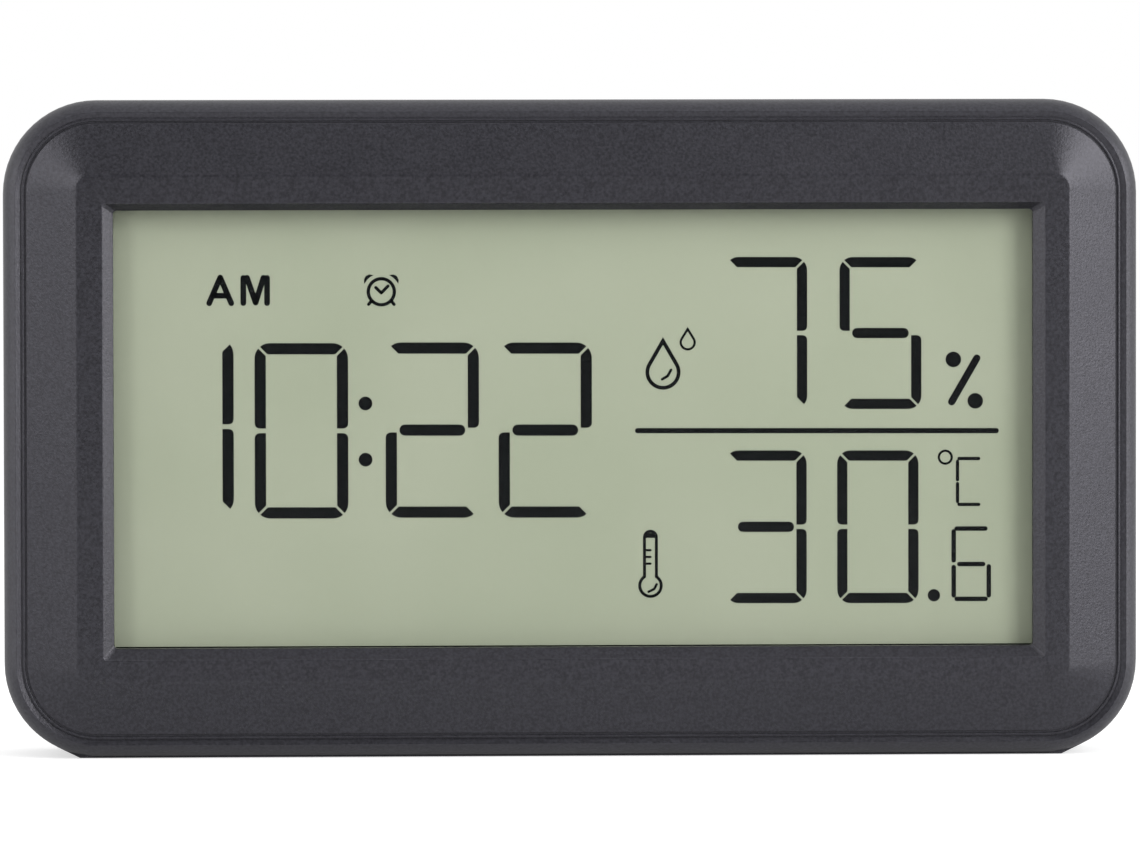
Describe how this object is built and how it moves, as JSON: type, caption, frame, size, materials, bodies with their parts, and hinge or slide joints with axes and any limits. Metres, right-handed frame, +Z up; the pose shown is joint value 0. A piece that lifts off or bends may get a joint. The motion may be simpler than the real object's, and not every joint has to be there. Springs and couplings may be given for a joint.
{
  "type": "thermometer hygrometer clock",
  "caption": "Desk clock with a large segment display of time, room temperature and humidity, a fold-out stand, a wall keyhole and a hinged battery cover.",
  "frame": {"origin": "middle of the footprint, on the surface that the clock stands on", "axes": "+X to the right as seen from the front, -Y towards the viewer of the display, +Z up"},
  "size_m": [0.135, 0.0248, 0.0782],
  "materials": {
    "housing_plastic": "fine moulded grain, dark grey",
    "clear_plastic": "clear, flat and glossy",
    "polariser_film": "clear grey film",
    "reflector_film": "grey green reflecting film",
    "display_glass": "clear thin glass",
    "tray_plastic": "white moulded plastic",
    "strip_rubber": "blue grey striped elastomer",
    "board_laminate": "green solder mask",
    "black_resin": "poured black resin",
    "crystal_metal": "drawn can",
    "component_body": "sleeved capacitor and ceramic parts",
    "sensor_plastic": "white slotted housing",
    "thermistor_resin": "dipped black bead",
    "buzzer_plastic": "black moulded can",
    "switch_metal": "pressed cover over a black base",
    "cell_wrap": "plain wrapped can",
    "contact_metal": "nickel plated spring steel",
    "black_lead": "black insulation",
    "red_lead": "red insulation",
    "screw_steel": "dark zinc",
    "button_plastic": "satin dark grey",
    "plunger_plastic": "black nylon"
  },
  "bodies": {
    "housing": {"rear_case": "housing_plastic", "front_bezel": "housing_plastic", "display_window": "clear_plastic", "lcd_front_polariser": "polariser_film", "lcd_rear_polariser": "reflector_film", "lcd_front_glass": "display_glass", "lcd_rear_glass": "display_glass", "lcd_frame": "tray_plastic", "connector_strip": "strip_rubber", "main_board": "board_laminate", "chip_cover": "black_resin", "timing_crystal": "crystal_metal", "board_components": "component_body", "humidity_sensor": "sensor_plastic", "thermistor": "thermistor_resin", "buzzer": "buzzer_plastic", "tact_switches": "switch_metal", "battery_cell_left": "cell_wrap", "battery_cell_right": "cell_wrap", "battery_contacts": "contact_metal", "battery_springs": "contact_metal", "battery_lead_negative": "black_lead", "battery_lead_positive": "red_lead", "case_screws": "screw_steel", "frame_screws": "screw_steel", "board_screws": "screw_steel"},
    "door": {"battery_door": "housing_plastic"},
    "stand": {"stand_leg": "housing_plastic"},
    "down_button": {"button_down": "button_plastic", "switch_plunger_down": "plunger_plastic"},
    "up_button": {"button_up": "button_plastic", "switch_plunger_up": "plunger_plastic"},
    "alarm_button": {"button_alarm": "button_plastic", "switch_plunger_alarm": "plunger_plastic"},
    "mode_button": {"button_mode": "button_plastic", "switch_plunger_mode": "plunger_plastic"}
  },
  "joints": [
    {"name": "door_hinge", "type": "hinge", "parent": "housing", "child": "door", "pos_m": [-0.043, 0.0116, 0.0654], "axis": [1, 0, 0], "range_deg": [0, 75]},
    {"name": "stand_hinge", "type": "hinge", "parent": "housing", "child": "stand", "pos_m": [0, 0.0099, 0.046], "axis": [1, 0, 0], "range_deg": [0, 50]},
    {"name": "down_button_press", "type": "slide", "parent": "housing", "child": "down_button", "axis": [0, -1, 0], "range_m": [0, 0.0003], "stiffness_N_per_m": 1500},
    {"name": "up_button_press", "type": "slide", "parent": "housing", "child": "up_button", "axis": [0, -1, 0], "range_m": [0, 0.0003], "stiffness_N_per_m": 1500},
    {"name": "alarm_button_press", "type": "slide", "parent": "housing", "child": "alarm_button", "axis": [0, -1, 0], "range_m": [0, 0.0003], "stiffness_N_per_m": 1500},
    {"name": "mode_button_press", "type": "slide", "parent": "housing", "child": "mode_button", "axis": [0, -1, 0], "range_m": [0, 0.0003], "stiffness_N_per_m": 1500}
  ]
}
